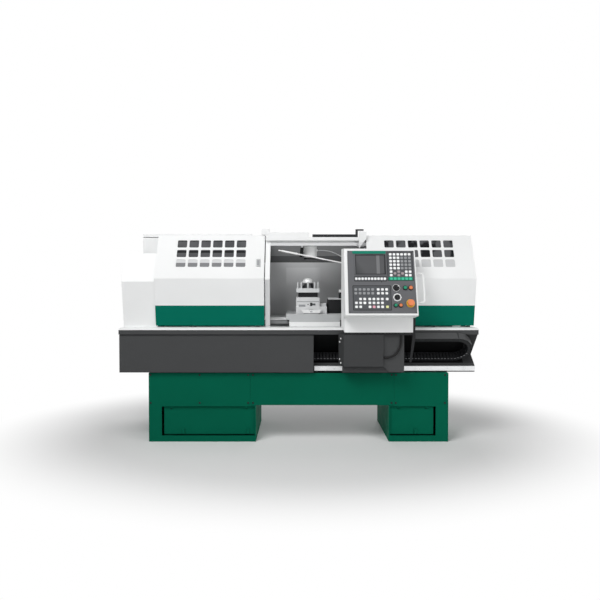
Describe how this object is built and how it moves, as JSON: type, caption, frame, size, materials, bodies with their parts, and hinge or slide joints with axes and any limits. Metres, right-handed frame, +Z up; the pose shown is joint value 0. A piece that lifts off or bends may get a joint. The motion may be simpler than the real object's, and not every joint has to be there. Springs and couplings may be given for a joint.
{
  "type": "cnc turning lathe",
  "caption": "CNC turning lathe on two green legs, with white hoods, a sliding door, a control pendant that slides on a rail, a drag chain and a grey trough.",
  "frame": {"origin": "centre of the bounding box on the floor", "axes": "+X to the right along the spindle, +Y to the back, +Z up"},
  "size_m": [2.64, 1.1979, 1.588],
  "materials": {
    "green_paint": "glossy",
    "white_paint": "satin",
    "dark_grey_paint": "satin",
    "grey_paint": "satin",
    "pale_grey_paint": "satin",
    "steel": "brushed",
    "rail_steel": "ground",
    "black_machine_plastic": "matte",
    "chain_plastic": "matte",
    "black_rubber": "matte",
    "panel_plastic": "matte",
    "key_film": "satin",
    "red_plastic": "glossy",
    "green_plastic": "glossy",
    "white_plastic": "glossy",
    "clear_pane": "clear",
    "bright_metal": "polished"
  },
  "bodies": {
    "root": {"left_leg": "green_paint", "right_leg": "green_paint", "cover_plates": "green_paint", "cover_screws": "steel", "front_trough": "dark_grey_paint", "chip_pan": "grey_paint", "guide_rail": "rail_steel", "bed": "pale_grey_paint", "z_servo": "black_machine_plastic", "headstock": "white_paint", "drive_belt": "black_rubber", "main_motor": "black_machine_plastic", "right_hood": "white_paint", "right_hood_panes": "clear_pane", "end_cover": "white_paint", "door_frame": "white_paint", "top_cable_chain": "chain_plastic", "rear_guard": "pale_grey_paint", "electrical_cabinet": "white_paint", "lamp_cable": "black_rubber", "energy_chain": "chain_plastic"},
    "spindle": {"spindle": "steel", "chuck": "steel"},
    "jaw_1": {"jaw_1": "steel"},
    "jaw_2": {"jaw_2": "steel"},
    "jaw_3": {"jaw_3": "steel"},
    "motor_pulley": {"motor_pulley": "steel"},
    "carriage": {"saddle": "pale_grey_paint", "saddle_cover": "white_paint", "x_servo": "black_machine_plastic"},
    "z_screw": {"z_screw": "steel"},
    "cross_slide": {"cross_slide": "pale_grey_paint"},
    "x_screw": {"x_screw": "steel"},
    "turret_head": {"turret_head": "steel"},
    "tailstock": {"tailstock": "white_paint"},
    "quill": {"quill": "steel"},
    "handwheel": {"handwheel": "black_machine_plastic"},
    "pendant": {"pendant_housing": "white_paint", "pendant_panel": "panel_plastic", "key_films": "key_film", "apron_box": "dark_grey_paint", "apron_plate": "grey_paint", "pendant_carrier": "black_machine_plastic", "pendant_conduit": "black_rubber"},
    "e_stop": {"e_stop": "red_plastic"},
    "green_button_upper": {"green_button_upper": "green_plastic"},
    "red_button_upper": {"red_button_upper": "red_plastic"},
    "green_button_lower": {"green_button_lower": "green_plastic"},
    "red_button_lower": {"red_button_lower": "red_plastic"},
    "mode_switch": {"mode_switch": "black_machine_plastic"},
    "feed_override": {"feed_override": "white_plastic"},
    "left_leg_door": {"left_leg_door": "green_paint"},
    "right_leg_door": {"right_leg_door": "green_paint"},
    "cabinet_door": {"cabinet_door": "white_paint"},
    "left_hood": {"left_hood": "white_paint", "left_hood_panes": "clear_pane"},
    "sliding_door": {"sliding_door": "white_paint", "door_pane": "clear_pane"},
    "lamp_head": {"lamp_head": "white_paint"},
    "coolant_pipe": {"coolant_pipe": "bright_metal"}
  },
  "joints": [
    {"name": "spindle_turn", "type": "hinge", "parent": "root", "child": "spindle", "pos_m": [0, 0.015, 1.1], "axis": [1, 0, 0], "continuous": true},
    {"name": "jaw_1_slide", "type": "slide", "parent": "spindle", "child": "jaw_1", "axis": [0, 0, 1], "range_m": [-0.018, 0.012]},
    {"name": "jaw_2_slide", "type": "slide", "parent": "spindle", "child": "jaw_2", "axis": [0, -0.866, -0.5], "range_m": [-0.018, 0.012]},
    {"name": "jaw_3_slide", "type": "slide", "parent": "spindle", "child": "jaw_3", "axis": [0, 0.866, -0.5], "range_m": [-0.018, 0.012]},
    {"name": "motor_turn", "type": "hinge", "parent": "root", "child": "motor_pulley", "pos_m": [0, 0.015, 0.18], "axis": [1, 0, 0], "continuous": true},
    {"name": "carriage_slide", "type": "slide", "parent": "root", "child": "carriage", "axis": [1, 0, 0], "range_m": [-0.2, 0.05]},
    {"name": "z_screw_turn", "type": "hinge", "parent": "root", "child": "z_screw", "pos_m": [0, -0.195, 0.8], "axis": [1, 0, 0], "range_deg": [-7205, 1805]},
    {"name": "cross_slide_feed", "type": "slide", "parent": "carriage", "child": "cross_slide", "axis": [0, 1, 0], "range_m": [-0.04, 0.1]},
    {"name": "x_screw_turn", "type": "hinge", "parent": "carriage", "child": "x_screw", "pos_m": [0.0985, 0.015, 0.957], "axis": [0, 1, 0], "range_deg": [-2885, 7205]},
    {"name": "turret_index", "type": "hinge", "parent": "cross_slide", "child": "turret_head", "pos_m": [0.0725, -0.085, 1.064], "axis": [0, 0, 1], "continuous": true},
    {"name": "tailstock_slide", "type": "slide", "parent": "root", "child": "tailstock", "axis": [1, 0, 0], "range_m": [0, 0.4]},
    {"name": "quill_slide", "type": "slide", "parent": "tailstock", "child": "quill", "axis": [-1, 0, 0], "range_m": [0, 0.06]},
    {"name": "handwheel_turn", "type": "hinge", "parent": "tailstock", "child": "handwheel", "pos_m": [0.72, 0.015, 1.1], "axis": [1, 0, 0], "range_deg": [0, 4325]},
    {"name": "pendant_slide", "type": "slide", "parent": "root", "child": "pendant", "axis": [1, 0, 0], "range_m": [-0.175, 0.06], "deforming": ["energy_chain"]},
    {"name": "green_button_upper_press", "type": "slide", "parent": "pendant", "child": "green_button_upper", "axis": [0, 0.9537, -0.3007], "range_m": [0, 0.004], "stiffness_N_per_m": 400, "springref_m": -0.001},
    {"name": "red_button_upper_press", "type": "slide", "parent": "pendant", "child": "red_button_upper", "axis": [0, 0.9537, -0.3007], "range_m": [0, 0.004], "stiffness_N_per_m": 400, "springref_m": -0.001},
    {"name": "green_button_lower_press", "type": "slide", "parent": "pendant", "child": "green_button_lower", "axis": [0, 0.9537, -0.3007], "range_m": [0, 0.004], "stiffness_N_per_m": 400, "springref_m": -0.001},
    {"name": "red_button_lower_press", "type": "slide", "parent": "pendant", "child": "red_button_lower", "axis": [0, 0.9537, -0.3007], "range_m": [0, 0.004], "stiffness_N_per_m": 400, "springref_m": -0.001},
    {"name": "e_stop_press", "type": "slide", "parent": "pendant", "child": "e_stop", "axis": [0, 0.9537, -0.3007], "range_m": [0, 0.006], "stiffness_N_per_m": 900, "springref_m": -0.001},
    {"name": "mode_switch_turn", "type": "hinge", "parent": "pendant", "child": "mode_switch", "pos_m": [0.6886, -0.52767, 1.14448], "axis": [0, -0.9537, 0.3007], "range_deg": [-60, 60]},
    {"name": "feed_override_turn", "type": "hinge", "parent": "pendant", "child": "feed_override", "pos_m": [0.6933, -0.5486, 1.07811], "axis": [0, -0.9537, 0.3007], "range_deg": [-135, 135]},
    {"name": "left_leg_door_turn", "type": "hinge", "parent": "root", "child": "left_leg_door", "pos_m": [-0.67, -0.3345, 0.254], "axis": [-1, 0, 0], "range_deg": [0, 80]},
    {"name": "right_leg_door_turn", "type": "hinge", "parent": "root", "child": "right_leg_door", "pos_m": [0.84, -0.3345, 0.254], "axis": [-1, 0, 0], "range_deg": [0, 80]},
    {"name": "cabinet_door_turn", "type": "hinge", "parent": "root", "child": "cabinet_door", "pos_m": [-1.31, 0.594, 1], "axis": [0, 0, 1], "range_deg": [0, 110]},
    {"name": "left_hood_slide", "type": "slide", "parent": "root", "child": "left_hood", "axis": [1, 0, 0], "range_m": [-0.24, 0]},
    {"name": "door_slide", "type": "slide", "parent": "root", "child": "sliding_door", "axis": [1, 0, 0], "range_m": [-0.735, 0]},
    {"name": "lamp_tilt", "type": "hinge", "parent": "root", "child": "lamp_head", "pos_m": [0.093, -0.085, 1.43], "axis": [1, 0, 0], "range_deg": [-18, 18]},
    {"name": "coolant_swivel", "type": "hinge", "parent": "root", "child": "coolant_pipe", "pos_m": [0.485, -0.177, 1.3], "axis": [0, 1, 0], "range_deg": [-12, 2]}
  ],
  "couplings": [
    {"joint": "jaw_2_slide", "follows": "jaw_1_slide", "ratio": 1},
    {"joint": "jaw_3_slide", "follows": "jaw_1_slide", "ratio": 1},
    {"joint": "motor_turn", "follows": "spindle_turn", "ratio": 1.5},
    {"joint": "z_screw_turn", "follows": "carriage_slide", "rad_per_m": 628.32},
    {"joint": "x_screw_turn", "follows": "cross_slide_feed", "rad_per_m": 1256.6},
    {"joint": "handwheel_turn", "follows": "quill_slide", "rad_per_m": 1256.6}
  ]
}
